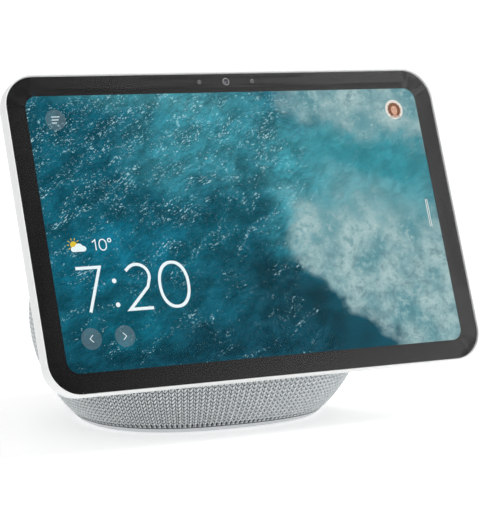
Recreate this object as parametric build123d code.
"""Smart display: a tilted touch-screen slab fixed to a fabric-covered speaker base.

Millimetres, +Z up, +X to the viewer's right, the screen faces -Y.
The origin is the middle of the rubber foot, on the surface that the display stands on.
Each sub-part is one node, written to parts/NODE.step.
Slab parts are drawn in the slab's own frame (x right, y up the screen, z out of the glass).
"""

import os
from math import cos, radians, sin, sqrt, tau

from build123d import *

# ---- Display slab, outside ----
SLAB_W = 208.0
SLAB_H = 134.2
SLAB_T = 12.5
SLAB_CORNER = 14.0
BACK_ROUND = 8.0
LIP = 0.5
WALL = 1.8
TILT_DEG = 20.83
DISPLAY_CENTRE = (0.0, -48.1, 90.07)
SCREEN_W = 189.8
SCREEN_H = 116.0
SCREEN_CORNER = 5.3

# ---- Depths in the slab, from the front of the glass ----
GLASS_BACK = -0.7
POLARISER_FRONT = -0.8
MASK_BACK = -0.85
LCD_BACK = -2.25
DIFFUSER_BACK = -3.6
TRAY_BACK = -4.0
FRAME_FRONT = -2.0
POCKET_FLOOR = -4.1
FRAME_BACK = -5.0
BOARD_FRONT = -5.3
BOARD_BACK = -6.3
CAN_BACK = -7.8
PAD_BACK = -8.8
SPREADER_BACK = -9.4
CAVITY_BACK = WALL - SLAB_T
GLASS_GAP = 0.1
MASK_EDGE = 0.2
POLARISER_GAP = 0.4
LCD_W = 194.0
LCD_H = 120.0
LCD_CORNER = 6.0
LCD_GAP = 0.3
TRAY_WALL = 0.5
FRAME_W = 204.0
FRAME_H = 130.2
FRAME_CORNER = 12.0
GASKET_EDGE = 0.4
GLASS_EDGE_CHAMFER = 0.2
FLEX_W = 22.0
FLEX_T = 0.2
FLEX_Y = (-59.6, 5.0)
FLEX_SLOT_Y = (-60.2, -58.8)

# ---- Camera, sensors and microphones ----
SENSOR_ROW = 62.8
SENSOR_PITCH = 12.9
CAMERA_RING_R = 1.65
CAMERA_LENS_R = 0.95
SENSOR_WINDOW_R = 0.85
WINDOW_GAP = 0.05
CAMERA_BODY = ((-2.3, 2.3), (60.6, 65.0), (-6.4, -3.0))
CAMERA_BARREL_R = 1.9
CAMERA_POCKET = ((-2.5, 2.5), (60.3, 67.0))
LENS_Z = (-2.1, -1.35)
LENS_ROUND = 0.3
SENSOR_BODY_HALF = 1.2
SENSOR_BODY_Y = (61.6, 64.0)
SENSOR_BODY_BACK = -3.4
SENSOR_POCKET_HALF = 1.4
SENSOR_POCKET_Y = (61.3, 67.0)
MIC_X = 40.0
MIC_HOLE_R = 0.5
MIC_BOARD_HALF = 5.0
MIC_BOARD_Y = (60.0, 60.6)
MIC_BOARD_Z = (-8.9, -5.5)
MIC_HALF = 2.0
MIC_Y = (60.6, 61.8)
MIC_Z = (-8.4, -6.0)
BOOT_R = 1.2
BOOT_END = 63.8
FITTING_DEPTH = -7.2

# ---- Push buttons in the right wall ----
BUTTON_Y = {"volume_up_button": 42.0, "volume_down_button": 28.0, "camera_button": 10.0}
BUTTON_LENGTH = 9.0
BUTTON_WIDTH = 2.6
BUTTON_PROUD = 0.6
BUTTON_GAP = 0.15
BUTTON_TRAVEL = 0.4
FLANGE_EDGE = 0.6
FLANGE_T = 0.8
STEM_R = 0.9
STEM_FRONT = 5.2
WALL_PRISM = 12.0
SWITCH_FACE = 98.9
RIB_X = (95.6, 96.6)
RIB_REACH = 7.0
BUTTON_BOARD_X = (96.6, 97.3)
BUTTON_BOARD_REACH = 6.0
BUTTON_BOARD_BACK = -9.2
SWITCH_HALF = 2.2
SWITCH_Z = (-8.8, -5.6)
SWITCH_STEP = 0.3
SWITCH_CAP_HALF = 1.0
SWITCH_CAP_Z = (-8.2, -6.2)

# ---- Fasteners in the slab ----
FRAME_SCREW_XY = [(sx * 99.6, y) for sx in (-1, 1) for y in (-48.0, -12.0, 53.0)]
FRAME_SCREW_XY += [(x, sy * SENSOR_ROW) for x in (-62.0, 62.0) for sy in (-1, 1)]
FRAME_SCREW_R = 0.9
FRAME_SCREW_LENGTH = 5.6
FRAME_POST_R = 2.1
FRAME_POST_BORE_END = -9.2
COUNTERBORE = (1.75, 1.1)
BOARD_SCREW_XY = [(x, y) for x in (-58.0, 44.0) for y in (6.0, 48.0)]
BOARD_SCREW_R = 0.7
FREE_FIT = 0.1
BOARD_FIT = 0.15
THREAD_FIT = 0.02

# ---- Main board and its cooling ----
MAIN_BOARD = ((-62.0, 48.0), (2.0, 52.0))
CAN = (42.0, 30.0, 1.5)
CAN_AT = (-20.0, 27.0)
CAN_WALL = 0.4
CAN_ROOF = 0.3
PAD = (34.0, 22.0, 1.0)
SPREADER = (150.0, 44.0, 4.0)
SPREADER_AT = (-5.0, 36.0)
ANTENNA_X = 78.0
ANTENNA_HALF = 15.0
ANTENNA_Y = (53.0, 59.0)
ANTENNA_T = 0.2

# ---- Neck between slab and base ----
NECK_Y = -26.0
NECK_SLOT = (20.0, 8.0, 3.5)
NECK_SCREW_XY = [(sx * 26.0, NECK_Y + sy * 14.0) for sx in (-1, 1) for sy in (-1, 1)]
NECK_SCREW_R = 1.5
NECK_SCREW_LENGTH = 9.5
BRACKET = (66.0, 42.0, 4.0)
BRACKET_T = 1.2
CABLE_W = 12.0
CABLE_T = 0.8
CABLE_DEPTH = -8.6

# ---- Base body ----
FOOT_A = 52.8
FOOT_B = 39.1
SQUARENESS = 2.4
SIDE_RADIUS = 62.1
WIDEST_Z = 47.25
FLARE = SIDE_RADIUS - sqrt(SIDE_RADIUS**2 - WIDEST_Z**2)
BODY_TOP = 100.0
TOP_ROUNDNESS = 2.2
LAST_RISE = 0.985
SECTION_POINTS = 40
FABRIC_T = 1.2
FABRIC_GAP = 0.05
SHELL_INSET = 1.3
SHELL_WALL = 2.4
PAD_T = 1.4
PAD_PROUD = 0.6
RIM_TOP = 2.4
RIM_PROUD = 0.3
PLATE_TOP = 4.0
REAR_SPLIT_Y = 38.7
SIDE_SPLIT_X = 55.5
BAFFLE_T = 2.6
BASE_SCREW_XY = [(sx * 34.0, sy * 25.0) for sx in (-1, 1) for sy in (-1, 1)]
BASE_SCREW_R = 1.25
BASE_SCREW_SINK = 1.2
BASE_SINK_R = 2.5
BOSS_TOP = 16.0
BASE_BOSS_R = 3.2
NECK_BOSS_R = 3.5
NECK_BOSS_DEPTH = -22.0
FRONT_WALL_DEPTH = 8.0
PCB_POST_R = 2.6
JACK_CLEARANCE = (13.0, 17.0)
FOOT_INSET = 1.7
FOOT_EDGE_CHAMFER = 0.3
PLATE_INSET = 2.0
SLOT_PITCH = 4.0
SLOT_WIDTH = 1.6
SLOT_LENGTH = 60.0
WOOFER_SLOTS_R = 26.0
SIDE_SLOTS_R = 16.0

# ---- Loudspeakers: r is the flange radius, rear the depth behind the flange ----
WOOFER = {"r": 31.5, "cone": 22.0, "coil": 10.0, "magnet": 20.0, "magnet_t": 12.0, "rear": 27.0}
FULL_RANGE = {"r": 20.0, "cone": 12.0, "coil": 6.5, "magnet": 12.0, "magnet_t": 8.0, "rear": 18.0}
FLANGE_THICK = 1.2
FLANGE_WIDTH = 5.2
FLANGE_SCREW_EDGE = 1.6
SPEAKER_SCREW_R = 0.8
SKIRT_T = 0.8
SKIRT_DROP = 3.0
CONE_T = 0.5
CONE_LIP = 1.0
MAGNET_CHAMFER = 0.6
GAP_DEPTH = 0.66
GAP_HALF = 0.8
COIL_Z = (-3.5, 4.0)
NECK_Z = (3.0, 4.2)
CAP_OVERHANG = 1.0
CAP_BULGE = 1.2
CAP_CENTRE_Z = 5.0
CAP_COLLAR_Z = 4.6
COIL_HALF_WALL = 0.3
COIL_GAP = 0.05
RUBBER_T = 0.5
RUBBER_LIPS = (1.0, 1.4)
SPIDER_Z = (2.2, 2.6)
SPIDER_EDGE = 1.6
SPIDER_FOOT = 1.2
WOOFER_Z = 50.0
SIDE_Y = -4.0
SIDE_Z = 46.0

# ---- Power board and inlet ----
PCB_Z = (6.6, 8.2)
PCB_HALF_W = 29.0
PCB_Y = (-24.0, 33.0)
PCB_SCREW_XY = [(sx * 25.0, y) for sx in (-1, 1) for y in (-20.0, 28.0)]
PCB_TONGUE = (12.0, 40.0)
CAN_R = 3.2
CAN_HEIGHT = 8.0
CAN_X = (-18.0, -9.0, 9.0, 18.0)
CAN_Y = 19.0
JACK_Z = 12.2
JACK_BODY = ((-4.5, 4.5), (32.0, 44.0))
JACK_HEIGHT = 8.0
JACK_FACE_Y = 44.0
SOCKET_R = 2.75
SOCKET_DEPTH = 9.5
PIN_R = 1.0
RECESS_R = 4.7
BEZEL_R = 7.0

SCREEN = Plane(
    origin=DISPLAY_CENTRE,
    x_dir=(1, 0, 0),
    z_dir=(0, -cos(radians(TILT_DEG)), sin(radians(TILT_DEG))),
)
RIGHT_WALL = Plane(origin=(96, 0, FITTING_DEPTH), x_dir=(0, 1, 0), z_dir=(1, 0, 0))
TOP_WALL = Plane(origin=(0, 0, FITTING_DEPTH), x_dir=(1, 0, 0), z_dir=(0, 1, 0))
INLET = Plane(origin=(0, 0, JACK_Z), x_dir=(1, 0, 0), z_dir=(0, 1, 0))
WOOFER_PLACE = Plane(origin=(0, REAR_SPLIT_Y, WOOFER_Z), x_dir=(1, 0, 0), z_dir=(0, 1, 0))
LEFT_PLACE = Plane(origin=(-SIDE_SPLIT_X, SIDE_Y, SIDE_Z), x_dir=(0, 1, 0), z_dir=(-1, 0, 0))
RIGHT_PLACE = Plane(origin=(SIDE_SPLIT_X, SIDE_Y, SIDE_Z), x_dir=(0, 1, 0), z_dir=(1, 0, 0))
FAR = 200.0


# ---- Shared shapes ----
def plate(width, height, corner, back, front, at=(0.0, 0.0)):
    """A plate with rounded corners, from depth back to depth front."""
    return extrude(Pos(*at, back) * RectangleRounded(width, height, corner), front - back)


def block(x, y, z):
    """A box between two values along each axis."""
    middle = [(side[0] + side[1]) / 2 for side in (x, y, z)]
    return Pos(*middle) * Box(x[1] - x[0], y[1] - y[0], z[1] - z[0])


def rod(radius, back, front, at=(0.0, 0.0)):
    """A round rod along the local Z, from back to front."""
    return Pos(*at, (back + front) / 2) * Cylinder(radius, front - back)


def tube(outer, inner, back, front, at=(0.0, 0.0)):
    """A round tube along the local Z."""
    return rod(outer, back, front, at) - rod(inner, back - 1, front + 1, at)


def join(shapes):
    """One shape from several."""
    total = shapes[0]
    for shape in shapes[1:]:
        total = total + shape
    return total


def turned(points):
    """A ring turned about the local Z from points given as (radius, height)."""
    profile = make_face(Polyline(*points, close=True))
    return revolve(Plane.XZ * profile, Axis.Z)


def screw(shank_r, head_r, head_t, length):
    """A pan-head screw: shank along -Z, head standing on z = 0, with a cross recess."""
    head = rod(head_r, 0, head_t)
    head = fillet(head.edges().group_by(Axis.Z)[-1], head_t * 0.35)
    cross = Box(head_r * 1.1, head_r * 0.28, head_t) + Box(head_r * 0.28, head_r * 1.1, head_t)
    return rod(shank_r, -length, 0) + head - Pos(0, 0, head_t) * cross


def slab_solid(grow, front=0.0):
    """The slab's outer form with its sides and back moved out by grow."""
    width, height = SLAB_W + 2 * grow, SLAB_H + 2 * grow
    body = plate(width, height, SLAB_CORNER + grow, -SLAB_T - grow, front)
    return fillet(body.edges().group_by(Axis.Z)[0], BACK_ROUND + grow)


# ---- Base form ----
def half_axes(z, inset):
    """Half-width and half-depth of the base body at height z, drawn in by inset."""
    if z <= WIDEST_Z:
        grow = sqrt(SIDE_RADIUS**2 - (z - WIDEST_Z) ** 2) - SIDE_RADIUS + FLARE - inset
        return FOOT_A + grow, FOOT_B + grow
    rise = (z - WIDEST_Z) / (BODY_TOP - inset - WIDEST_Z)
    shrink = (1 - rise**TOP_ROUNDNESS) ** (1 / TOP_ROUNDNESS)
    return (FOOT_A + FLARE - inset) * shrink, (FOOT_B + FLARE - inset) * shrink


def outline(a, b, z):
    """A level superellipse face with half-axes a and b."""
    points = []
    for i in range(SECTION_POINTS):
        c = cos(tau * i / SECTION_POINTS)
        s = sin(tau * i / SECTION_POINTS)
        x = a * abs(c) ** (2 / SQUARENESS) * (1 if c >= 0 else -1)
        y = b * abs(s) ** (2 / SQUARENESS) * (1 if s >= 0 else -1)
        points.append((x, y, z))
    return make_face(Spline(*points, periodic=True))


def body_solid(inset, bottom):
    """The base body drawn in by inset, from height bottom to its rounded top."""
    heights = [bottom, 9.0, 18.0, 28.0, 38.0, WIDEST_Z]
    rises = [0.17, 0.34, 0.5, 0.63, 0.74, 0.83, 0.9, 0.95, LAST_RISE]
    heights += [WIDEST_Z + rise * (BODY_TOP - inset - WIDEST_Z) for rise in rises]
    return loft([outline(*half_axes(z, inset), z) for z in heights])


def behind_slab(depth):
    """All the space more than depth behind the front of the glass."""
    return SCREEN * Pos(0, 0, -depth - FAR) * Box(2 * FAR, 2 * FAR, 2 * FAR)


def level_plate(inset, bottom, top):
    """A level plate with the foot's outline drawn in by inset."""
    return extrude(outline(FOOT_A - inset, FOOT_B - inset, bottom), top - bottom)


def port_hole(radius, start=JACK_FACE_Y):
    """A round space from the jack's face out through the back of the base."""
    return INLET * rod(radius, start, FAR)


# ---- Display stack ----
def cover_glass():
    gap = LIP + GLASS_GAP
    glass = plate(SLAB_W - 2 * gap, SLAB_H - 2 * gap, SLAB_CORNER - gap, GLASS_BACK, 0)
    return chamfer(glass.edges().group_by(Axis.Z)[-1], GLASS_EDGE_CHAMFER)


def bezel_mask():
    inset = LIP + GLASS_GAP + MASK_EDGE
    mask = plate(SLAB_W - 2 * inset, SLAB_H - 2 * inset, SLAB_CORNER - inset, MASK_BACK, GLASS_BACK)
    mask -= plate(SCREEN_W, SCREEN_H, SCREEN_CORNER, MASK_BACK - 1, 0)
    mask -= rod(CAMERA_RING_R + WINDOW_GAP, MASK_BACK - 1, 0, (0, SENSOR_ROW))
    for x in (-SENSOR_PITCH, SENSOR_PITCH):
        mask -= rod(SENSOR_WINDOW_R + WINDOW_GAP, MASK_BACK - 1, 0, (x, SENSOR_ROW))
    return mask


def lcd_panel():
    cell = plate(LCD_W, LCD_H, LCD_CORNER, LCD_BACK, MASK_BACK)
    width, height = SCREEN_W - POLARISER_GAP, SCREEN_H - POLARISER_GAP
    corner = SCREEN_CORNER - POLARISER_GAP / 2
    return cell + plate(width, height, corner, MASK_BACK, POLARISER_FRONT)


def backlight_diffuser():
    edge = TRAY_WALL + FREE_FIT
    return plate(LCD_W - 2 * edge, LCD_H - 2 * edge, LCD_CORNER - edge, DIFFUSER_BACK, LCD_BACK)


def backlight_tray():
    tray = plate(LCD_W, LCD_H, LCD_CORNER, TRAY_BACK, LCD_BACK)
    width, height = LCD_W - 2 * TRAY_WALL, LCD_H - 2 * TRAY_WALL
    return tray - plate(width, height, LCD_CORNER - TRAY_WALL, DIFFUSER_BACK, 0)


def sensor_pockets(back):
    """The space that the camera and the two sensors take in the parts around them."""
    pockets = [block(*CAMERA_POCKET, (back, 1))]
    for x in (-SENSOR_PITCH, SENSOR_PITCH):
        sides = (x - SENSOR_POCKET_HALF, x + SENSOR_POCKET_HALF)
        pockets.append(block(sides, SENSOR_POCKET_Y, (back, 1)))
    return join(pockets)


def display_gasket():
    width, height = FRAME_W - 2 * GASKET_EDGE, FRAME_H - 2 * GASKET_EDGE
    gasket = plate(width, height, FRAME_CORNER - GASKET_EDGE, FRAME_FRONT, MASK_BACK)
    width, height = LCD_W + 4 * GASKET_EDGE, LCD_H + 4 * GASKET_EDGE
    gasket -= plate(width, height, LCD_CORNER + 2 * GASKET_EDGE, FRAME_FRONT - 1, 0)
    return gasket - sensor_pockets(FRAME_FRONT - 1)


def mid_frame():
    frame = plate(FRAME_W, FRAME_H, FRAME_CORNER, FRAME_BACK, FRAME_FRONT)
    width, height = LCD_W + 2 * LCD_GAP, LCD_H + 2 * LCD_GAP
    frame -= plate(width, height, LCD_CORNER + LCD_GAP, POCKET_FLOOR, 0)
    frame -= sensor_pockets(FRAME_BACK - 1)
    frame -= block((-FLEX_W / 2 - 2, FLEX_W / 2 + 2), FLEX_SLOT_Y, (FRAME_BACK - 1, 0))
    sink_r, sink = COUNTERBORE
    for at in FRAME_SCREW_XY:
        frame -= rod(sink_r, FRAME_FRONT - sink, 0, at)
        frame -= rod(FRAME_SCREW_R + FREE_FIT, FRAME_BACK - 1, 0, at)
    for at in BOARD_SCREW_XY:
        frame -= rod(BOARD_SCREW_R + FREE_FIT / 2, FRAME_BACK - 1, 0, at)
    return frame


def frame_screws():
    one = screw(FRAME_SCREW_R, head_r=1.6, head_t=1.0, length=FRAME_SCREW_LENGTH)
    return [Pos(x, y, FRAME_FRONT - COUNTERBORE[1]) * one for x, y in FRAME_SCREW_XY]


def button_slot(y, margin):
    """A pill-shaped prism through the right wall, larger than the button by margin."""
    pill = SlotOverall(BUTTON_LENGTH + 2 * margin, BUTTON_WIDTH + 2 * margin)
    return RIGHT_WALL * Pos(y, 0, 0) * extrude(pill, WALL_PRISM)


def button_row(reach):
    """The stretch of the right wall that holds the buttons, longer by reach at both ends."""
    return min(BUTTON_Y.values()) - reach, max(BUTTON_Y.values()) + reach


def rear_housing():
    pocket = plate(SLAB_W - 2 * LIP, SLAB_H - 2 * LIP, SLAB_CORNER - LIP, MASK_BACK, 1)
    shell = slab_solid(0) - slab_solid(-WALL, GLASS_BACK) - pocket
    rooted = CAVITY_BACK - WALL / 3
    posts = [block(RIB_X, button_row(RIB_REACH), (rooted, FRAME_BACK))]
    posts += [rod(FRAME_POST_R, rooted, FRAME_BACK, at) for at in FRAME_SCREW_XY]
    shell += join(posts) & slab_solid(-WALL / 2)
    for at in FRAME_SCREW_XY:
        shell -= rod(FRAME_SCREW_R + THREAD_FIT, FRAME_POST_BORE_END, 0, at)
    for y in BUTTON_Y.values():
        shell -= button_slot(y, BUTTON_GAP)
    for x in (-MIC_X, MIC_X):
        shell -= TOP_WALL * rod(MIC_HOLE_R, MIC_Y[1], SLAB_H, (x, 0))
    shell -= plate(*NECK_SLOT, -FAR, CAVITY_BACK + 1, (0, NECK_Y))
    for at in NECK_SCREW_XY:
        shell -= rod(NECK_SCREW_R + FREE_FIT, -FAR, CAVITY_BACK + 1, at)
    return shell


def button(y):
    """A push button: cap through the wall, flange behind the wall, stem towards its switch."""
    inside = slab_solid(-WALL - FLANGE_T, 1)
    cap = button_slot(y, 0) & (slab_solid(BUTTON_PROUD, 1) - inside)
    flange = button_slot(y, FLANGE_EDGE) & (slab_solid(-WALL - BUTTON_GAP, 1) - inside)
    stem_end = SWITCH_FACE + BUTTON_TRAVEL + FREE_FIT - RIGHT_WALL.origin.X
    stem = RIGHT_WALL * rod(STEM_R, stem_end, STEM_FRONT, (y, 0))
    return cap + flange + stem


def button_board():
    """The switches' board, with a stepped switch facing each button."""
    board = block(BUTTON_BOARD_X, button_row(BUTTON_BOARD_REACH), (BUTTON_BOARD_BACK, BOARD_FRONT))
    back = BUTTON_BOARD_X[1]
    for y in BUTTON_Y.values():
        board += block((back, SWITCH_FACE - SWITCH_STEP), (y - SWITCH_HALF, y + SWITCH_HALF), SWITCH_Z)
        board += block((back, SWITCH_FACE), (y - SWITCH_CAP_HALF, y + SWITCH_CAP_HALF), SWITCH_CAP_Z)
    return board


def camera_module():
    """Square body and round barrel, whose front ring shows through the mask."""
    body = block(*CAMERA_BODY)
    body += rod(CAMERA_BARREL_R, CAMERA_BODY[2][1], MASK_BACK, (0, SENSOR_ROW))
    body += rod(CAMERA_RING_R, MASK_BACK, GLASS_BACK, (0, SENSOR_ROW))
    return body - rod(CAMERA_LENS_R, LENS_Z[0], 0, (0, SENSOR_ROW))


def camera_lens():
    lens = rod(CAMERA_LENS_R - THREAD_FIT, *LENS_Z, (0, SENSOR_ROW))
    return fillet(lens.edges().group_by(Axis.Z)[-1], LENS_ROUND)


def light_sensors():
    sensors = []
    for x in (-SENSOR_PITCH, SENSOR_PITCH):
        sides = (x - SENSOR_BODY_HALF, x + SENSOR_BODY_HALF)
        body = block(sides, SENSOR_BODY_Y, (SENSOR_BODY_BACK, MASK_BACK))
        sensors.append(body + rod(SENSOR_WINDOW_R, MASK_BACK, GLASS_BACK, (x, SENSOR_ROW)))
    return sensors


def microphones():
    mics = []
    for x in (-MIC_X, MIC_X):
        board = block((x - MIC_BOARD_HALF, x + MIC_BOARD_HALF), MIC_BOARD_Y, MIC_BOARD_Z)
        mics.append(board + block((x - MIC_HALF, x + MIC_HALF), MIC_Y, MIC_Z))
    return mics


def microphone_boots():
    one = tube(BOOT_R, MIC_HOLE_R, MIC_Y[1], BOOT_END)
    return [TOP_WALL * Pos(x, 0, 0) * one for x in (-MIC_X, MIC_X)]


def main_board():
    board = block(*MAIN_BOARD, (BOARD_BACK, BOARD_FRONT))
    for at in BOARD_SCREW_XY:
        board -= rod(BOARD_SCREW_R + BOARD_FIT, BOARD_BACK - 1, 0, at)
    return board


def board_screws():
    """The screws of both circuit boards, in the world frame."""
    one = screw(BOARD_SCREW_R, head_r=1.5, head_t=0.8, length=1.9)
    screws = [SCREEN * Pos(x, y, BOARD_BACK) * Rot(180, 0, 0) * one for x, y in BOARD_SCREW_XY]
    long_one = screw(BOARD_SCREW_R, head_r=1.5, head_t=0.8, length=5)
    return screws + [Pos(x, y, PCB_Z[1]) * long_one for x, y in PCB_SCREW_XY]


def board_chips():
    """Processor, memory, power chips and the harness connector."""
    chips = [
        ((-34, -20), (20, 34), -7.3),
        ((-16, -6), (18, 30), -7.2),
        ((8, 20), (30, 40), -7.3),
        ((26, 34), (12, 20), -7.2),
        ((-56, -48), (20, 30), -7.5),
        ((-7, 7), (3, 7.5), -9.2),
        ((-12, 12), (9.5, 11), -6.9),
        ((40, 45), (24, 34), -7.6),
    ]
    return [block(x, y, (back, BOARD_BACK)) for x, y, back in chips]


def processor_shield():
    can = plate(*CAN, CAN_BACK, BOARD_BACK, CAN_AT)
    width, height, corner = CAN
    room = (width - 2 * CAN_WALL, height - 2 * CAN_WALL, corner - CAN_WALL)
    return can - plate(*room, CAN_BACK + CAN_ROOF, 0, CAN_AT)


def thermal_pad():
    return plate(*PAD, PAD_BACK, CAN_BACK, CAN_AT)


def heat_spreader():
    return plate(*SPREADER, SPREADER_BACK, PAD_BACK, SPREADER_AT)


def wifi_antennas():
    depth = (FRAME_BACK - ANTENNA_T, FRAME_BACK)
    places = (-ANTENNA_X, ANTENNA_X)
    return [block((x - ANTENNA_HALF, x + ANTENNA_HALF), ANTENNA_Y, depth) for x in places]


def display_flex():
    """The panel's ribbon: out through the frame, then up its back to the main board."""
    sides = (-FLEX_W / 2, FLEX_W / 2)
    leg = block(sides, (FLEX_Y[0], FLEX_Y[0] + FLEX_T), (BOARD_FRONT, TRAY_BACK))
    return leg + block(sides, FLEX_Y, (BOARD_FRONT, BOARD_FRONT + FLEX_T))


# ---- Neck ----
def neck_bracket():
    front = CAVITY_BACK + BRACKET_T
    bracket = plate(*BRACKET, CAVITY_BACK, front, (0, NECK_Y))
    bracket -= plate(*NECK_SLOT, -FAR, 0, (0, NECK_Y))
    for at in NECK_SCREW_XY:
        bracket -= rod(NECK_SCREW_R + FREE_FIT, -FAR, 0, at)
    return bracket


def neck_screws():
    one = screw(NECK_SCREW_R, head_r=2.8, head_t=1.6, length=NECK_SCREW_LENGTH)
    return [Pos(x, y, CAVITY_BACK + BRACKET_T) * one for x, y in NECK_SCREW_XY]


def in_side_view(y, z):
    """World Y and Z of a point on the slab's middle, given in the slab's frame."""
    point = SCREEN.from_local_coords(Vector(0, y, z))
    return point.Y, point.Z


def harness():
    """Flat cable from the power board, up inside the neck, to the main board."""
    stops = [
        (-13.0, 10.6),
        (-30.0, 10.6),
        (-38.0, 40.0),
        in_side_view(NECK_Y, -24.0),
        in_side_view(NECK_Y, CABLE_DEPTH),
        in_side_view(3.0, CABLE_DEPTH),
    ]
    route = FilletPolyline(*stops, radius=[5, 8, 5, 2.6])
    return Plane.YZ * Pos(0, 0, -CABLE_W / 2) * extrude(trace(route, CABLE_T), CABLE_W)


# ---- Base casing ----
def foot_pad():
    pad = level_plate(FOOT_INSET + FREE_FIT, 0, PAD_T)
    return chamfer(pad.edges().group_by(Axis.Z)[0], FOOT_EDGE_CHAMFER)


def base_plate():
    base = level_plate(PLATE_INSET + FREE_FIT, PAD_T, PLATE_TOP)
    for at in BASE_SCREW_XY:
        base -= rod(BASE_SINK_R, PAD_T - 1, PAD_T + BASE_SCREW_SINK, at)
        base -= rod(BASE_SCREW_R + FREE_FIT, 0, PCB_Z[1], at)
    for at in PCB_SCREW_XY:
        base += rod(PCB_POST_R, PLATE_TOP, PCB_Z[0], at)
        base -= rod(BOARD_SCREW_R + THREAD_FIT, PAD_T + BASE_SCREW_SINK / 2, PCB_Z[1], at)
    return base


def base_screws():
    one = Rot(180, 0, 0) * screw(BASE_SCREW_R, head_r=2.4, head_t=BASE_SCREW_SINK, length=9)
    return [Pos(x, y, PAD_T + BASE_SCREW_SINK) * one for x, y in BASE_SCREW_XY]


def base_rim():
    levels = [PAD_PROUD, (PAD_PROUD + RIM_TOP) / 2, RIM_TOP]
    ring = loft([outline(*half_axes(z, -RIM_PROUD), z) for z in levels])
    return ring - level_plate(PLATE_INSET, 0, PLATE_TOP + 1) - level_plate(FOOT_INSET, 0, PAD_T)


def fabric_cover():
    skin = body_solid(0, RIM_TOP) - body_solid(FABRIC_T, RIM_TOP - 1)
    return (skin & behind_slab(SLAB_T + FABRIC_GAP)) - port_hole(BEZEL_R + FABRIC_GAP)


def shell_outside():
    return body_solid(SHELL_INSET, RIM_TOP) & behind_slab(SLAB_T)


def shell_inside():
    inset = SHELL_INSET + SHELL_WALL
    return body_solid(inset, RIM_TOP - 1) & behind_slab(SLAB_T + SHELL_WALL)


def driver_hole(place, driver):
    return place * rod(driver["r"] - 4, -2 * BAFFLE_T, BAFFLE_T)


def flange_screw_xy(driver):
    """Four places round a driver's flange."""
    reach = (driver["r"] - FLANGE_SCREW_EDGE) / sqrt(2)
    return [(sx * reach, sy * reach) for sx in (-1, 1) for sy in (-1, 1)]


def baffles(heights):
    """The flat walls that carry the woofer and the two side drivers."""
    inner_face = SIDE_SPLIT_X - BAFFLE_T
    half, top = JACK_CLEARANCE
    rear = block((-FAR, FAR), (REAR_SPLIT_Y - BAFFLE_T, REAR_SPLIT_Y), heights)
    return [
        rear - block((-half, half), (0, FAR), (0, top)),
        block((inner_face, SIDE_SPLIT_X), (-FAR, REAR_SPLIT_Y), heights),
        block((-SIDE_SPLIT_X, -inner_face), (-FAR, REAR_SPLIT_Y), heights),
    ]


def screw_bosses(heights):
    """Posts for the screws of the base plate, each with a rib to the side, and of the neck."""
    bosses = []
    for x, y in BASE_SCREW_XY:
        rib = block(sorted((x, 1.6 * x)), (y - 1, y + 1), (heights[0], BOSS_TOP))
        bosses.append(rod(BASE_BOSS_R, PLATE_TOP, BOSS_TOP, (x, y)) + rib)
    for at in NECK_SCREW_XY:
        bosses.append(SCREEN * rod(NECK_BOSS_R, NECK_BOSS_DEPTH, -SLAB_T - 1, at))
    return bosses


def speaker_enclosure(outside, inside):
    """The middle moulding: front wall, three driver baffles and the screw bosses."""
    middle = block((-SIDE_SPLIT_X, SIDE_SPLIT_X), (-FAR, REAR_SPLIT_Y), (0, FAR))
    heights = (PLATE_TOP + 0.2, FAR)
    # The walls and posts are what is left standing when they are taken out of the cavity.
    # Joining them to the shell instead makes the modeller drop them without an error.
    cavity = inside
    for inner_part in baffles(heights) + screw_bosses(heights):
        cavity -= inner_part
    casing = (outside - cavity) & middle
    for place, driver in driver_places():
        casing -= driver_hole(place, driver)
        for at in flange_screw_xy(driver):
            casing -= place * rod(SPEAKER_SCREW_R + THREAD_FIT, -BAFFLE_T - 1, 1, at)
    for at in BASE_SCREW_XY:
        casing -= rod(BASE_SCREW_R + THREAD_FIT, 0, BOSS_TOP - 3, at)
    for at in NECK_SCREW_XY:
        casing -= SCREEN * rod(NECK_SCREW_R + THREAD_FIT, NECK_BOSS_DEPTH + 2, 0, at)
    return casing - SCREEN * plate(*NECK_SLOT, NECK_BOSS_DEPTH - FRONT_WALL_DEPTH, 0, (0, NECK_Y))


def driver_places():
    return [(WOOFER_PLACE, WOOFER), (LEFT_PLACE, FULL_RANGE), (RIGHT_PLACE, FULL_RANGE)]


def grille_slots(place, reach):
    """Upright slots over a driver, together filling a circle of radius reach."""
    slots = []
    count = int(reach // SLOT_PITCH)
    for i in range(-count, count + 1):
        x = i * SLOT_PITCH
        half = sqrt(reach**2 - x**2) - SLOT_WIDTH
        if half > SLOT_WIDTH:
            slots.append(Pos(x, 0, SLOT_LENGTH / 3) * Box(SLOT_WIDTH, 2 * half, SLOT_LENGTH))
    return place * join(slots)


def rear_grille(outside, inside):
    """The shell behind the woofer."""
    cap = (outside - inside) & block((-FAR, FAR), (REAR_SPLIT_Y, FAR), (0, FAR))
    cap -= port_hole(BEZEL_R + FABRIC_GAP, JACK_FACE_Y - 3)
    return cap - grille_slots(WOOFER_PLACE, WOOFER_SLOTS_R)


def side_grille(outside, inside, side, place):
    """The shell beside a full-range driver; side is -1 on the left and 1 on the right."""
    reach = sorted((side * SIDE_SPLIT_X, side * FAR))
    cap = (outside - inside) & block(reach, (-FAR, REAR_SPLIT_Y), (0, FAR))
    return cap - grille_slots(place, SIDE_SLOTS_R)


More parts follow.
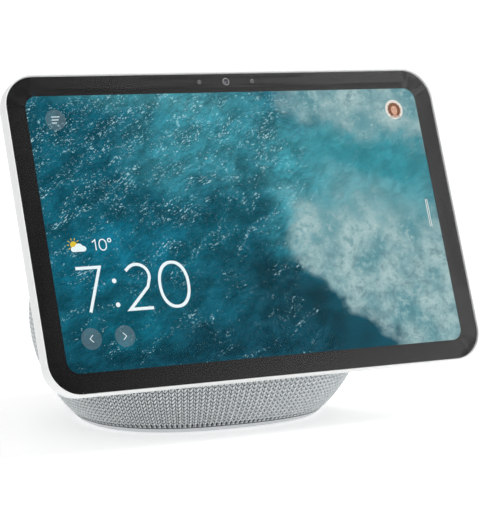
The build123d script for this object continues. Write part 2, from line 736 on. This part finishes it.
# ---- Loudspeakers, drawn with the flange's back on z = 0 and the cone facing +Z ----
def basket(driver):
    floor = driver["magnet_t"] - driver["rear"]
    rim = driver["r"] - FLANGE_WIDTH
    skirt = rim + SKIRT_T
    shell = turned(
        [
            (driver["r"], 0),
            (driver["r"], FLANGE_THICK),
            (rim, FLANGE_THICK),
            (rim, -SKIRT_DROP),
            (driver["magnet"] - SKIRT_T, floor + SKIRT_T),
            (driver["coil"] + 2 * SKIRT_T, floor + SKIRT_T),
            (driver["coil"] + 2 * SKIRT_T, floor),
            (driver["magnet"], floor),
            (skirt, -SKIRT_DROP),
            (skirt, 0),
        ]
    )
    window = Pos(driver["magnet"], 0, floor / 2) * Box(driver["r"], 0.9 * driver["coil"], -0.4 * floor)
    for turn in (0, 90, 180, 270):
        shell -= Rot(0, 0, turn + 45) * window
    for at in flange_screw_xy(driver):
        shell -= rod(SPEAKER_SCREW_R + FREE_FIT, -1, 3, at)
    return shell


def magnet(driver):
    """Magnet, plates and pole in one stack, with the coil's gap cut into its front."""
    floor = driver["magnet_t"] - driver["rear"]
    stack = rod(driver["magnet"], -driver["rear"], floor)
    stack = chamfer(stack.edges().group_by(Axis.Z)[0], MAGNET_CHAMFER)
    gap_floor = floor - GAP_DEPTH * driver["magnet_t"]
    return stack - tube(driver["coil"] + GAP_HALF, driver["coil"] - GAP_HALF, gap_floor, floor)


def voice_coil(driver):
    floor = driver["magnet_t"] - driver["rear"]
    radius = driver["coil"]
    back, front = floor + COIL_Z[0], floor + COIL_Z[1]
    return tube(radius + COIL_HALF_WALL, radius - COIL_HALF_WALL, back, front)


def cone(driver):
    """Paper cone with a level outer lip and a domed dust cap."""
    floor = driver["magnet_t"] - driver["rear"]
    neck = driver["coil"] + COIL_HALF_WALL + COIL_GAP
    edge = driver["cone"] - CONE_LIP
    top = FLANGE_THICK
    shell = turned(
        [
            (neck, floor + NECK_Z[0]),
            (edge, top - CONE_T),
            (driver["cone"], top - CONE_T),
            (driver["cone"], top),
            (edge, top),
            (neck, floor + NECK_Z[1]),
        ]
    )
    cap_r = driver["coil"] + CAP_OVERHANG
    ball_r = cap_r * CAP_BULGE
    cap_z = floor + CAP_CENTRE_Z
    cap_foot = cap_z + 0.7 * cap_r
    dome = Pos(0, 0, cap_z) * (Sphere(ball_r) - Sphere(ball_r - CONE_T)) & rod(cap_r, cap_foot, FAR)
    return shell + tube(cap_r, cap_r - CONE_T, floor + CAP_COLLAR_Z, cap_foot) + dome


def surround(driver):
    """Half-roll rubber edge: one lip on the cone, the other on the flange."""
    inner = driver["cone"]
    outer = driver["r"] - FLANGE_WIDTH
    middle = (inner + outer) / 2
    half = (outer - inner) / 2
    ring = Pos(middle, FLANGE_THICK) * (Circle(half + RUBBER_T / 2) - Circle(half - RUBBER_T / 2))
    ring = ring & Pos(middle, FLANGE_THICK + 10) * Rectangle(40, 20)
    lip_z = FLANGE_THICK + RUBBER_T / 2
    lips = Pos(inner - RUBBER_LIPS[0] / 2, lip_z) * Rectangle(RUBBER_LIPS[0], RUBBER_T)
    lips += Pos(outer + RUBBER_LIPS[1] / 2, lip_z) * Rectangle(RUBBER_LIPS[1], RUBBER_T)
    return revolve(Plane.XZ * (ring + lips), Axis.Z)


def spider(driver):
    """Centring disc: a flat web from the coil to a ring that stands on the basket's floor."""
    floor = driver["magnet_t"] - driver["rear"]
    outer = driver["magnet"] - SPIDER_EDGE
    inner = driver["coil"] + COIL_HALF_WALL + COIL_GAP
    web = tube(outer, inner, floor + SPIDER_Z[0], floor + SPIDER_Z[1])
    return web + tube(outer, outer - SPIDER_FOOT, floor + SKIRT_T, floor + SPIDER_Z[1])


def speaker_screws():
    one = screw(SPEAKER_SCREW_R, head_r=1.4, head_t=0.8, length=3.4)
    screws = []
    for place, driver in driver_places():
        for x, y in flange_screw_xy(driver):
            screws.append(place * Pos(x, y, FLANGE_THICK) * one)
    return screws


# ---- Power ----
def power_board():
    board = block((-PCB_HALF_W, PCB_HALF_W), PCB_Y, PCB_Z)
    half, end = PCB_TONGUE
    board += block((-half, half), (PCB_Y[1] - 1, end), PCB_Z)
    for at in PCB_SCREW_XY:
        board -= rod(BOARD_SCREW_R + BOARD_FIT, 0, JACK_Z, at)
    return board


def power_board_parts():
    """Amplifier, coils, capacitors and connectors."""
    top = PCB_Z[1]
    parts = [block((-7, 7), (-13, -8), (top, top + 4))]
    parts.append(block((8, 18), (-4, 6), (top, top + 1.2)))
    parts.append(block((-20, -10), (-2, 8), (top, top + 5)))
    parts.append(block((-22, -14), (-16, -10), (top, top + 4.5)))
    for x in CAN_X:
        can = rod(CAN_R, top, top + CAN_HEIGHT, (x, CAN_Y))
        parts.append(fillet(can.edges().group_by(Axis.Z)[-1], 0.6))
    return parts


def dc_jack():
    body = block(*JACK_BODY, (PCB_Z[1], PCB_Z[1] + JACK_HEIGHT))
    return body - INLET * rod(SOCKET_R, JACK_FACE_Y - SOCKET_DEPTH, FAR)


def jack_pin():
    pin = INLET * rod(PIN_R, JACK_FACE_Y - SOCKET_DEPTH, JACK_FACE_Y - 0.5)
    return chamfer(pin.edges().group_by(Axis.Y)[-1], 0.3)


def port_bezel():
    collar = port_hole(BEZEL_R) - INLET * rod(RECESS_R, 0, FAR)
    return collar & body_solid(-RIM_PROUD, RIM_TOP)


# ---- Output ----
def write(name, shape, place=None):
    """Export one node; shape is one solid or a list of separate solids."""
    pieces = shape if isinstance(shape, list) else [shape]
    solids = [solid for piece in pieces for solid in piece.solids()]
    if place is not None:
        solids = [place * solid for solid in solids]
    body = solids[0] if len(solids) == 1 else Compound(solids)
    export_step(body, f"parts/{name}.step")


def write_slab():
    makers = [
        cover_glass, bezel_mask, lcd_panel, backlight_diffuser, backlight_tray,
        display_gasket, mid_frame, frame_screws, rear_housing, button_board,
        camera_module, camera_lens, light_sensors, microphones, microphone_boots,
        main_board, board_chips, processor_shield, thermal_pad, heat_spreader,
        wifi_antennas, display_flex, neck_bracket, neck_screws,
    ]
    for maker in makers:
        write(maker.__name__, maker(), SCREEN)
    for name, y in BUTTON_Y.items():
        write(name, button(y), SCREEN)


def write_base():
    makers = [
        harness, foot_pad, base_plate, base_screws, base_rim, fabric_cover, speaker_screws,
        power_board, power_board_parts, board_screws, dc_jack, jack_pin, port_bezel,
    ]
    for maker in makers:
        write(maker.__name__, maker())
    outside = shell_outside()
    inside = shell_inside()
    write("speaker_enclosure", speaker_enclosure(outside, inside))
    write("rear_grille", rear_grille(outside, inside))
    write("left_grille", side_grille(outside, inside, -1, LEFT_PLACE))
    write("right_grille", side_grille(outside, inside, 1, RIGHT_PLACE))


def write_drivers():
    drivers = {
        "woofer": (WOOFER_PLACE, WOOFER),
        "left_driver": (LEFT_PLACE, FULL_RANGE),
        "right_driver": (RIGHT_PLACE, FULL_RANGE),
    }
    for name, (place, driver) in drivers.items():
        for piece in (basket, magnet, voice_coil, cone, surround):
            write(f"{name}_{piece.__name__}", piece(driver), place)
    write("woofer_spider", spider(WOOFER), WOOFER_PLACE)


os.makedirs("parts", exist_ok=True)
write_slab()
write_base()
write_drivers()
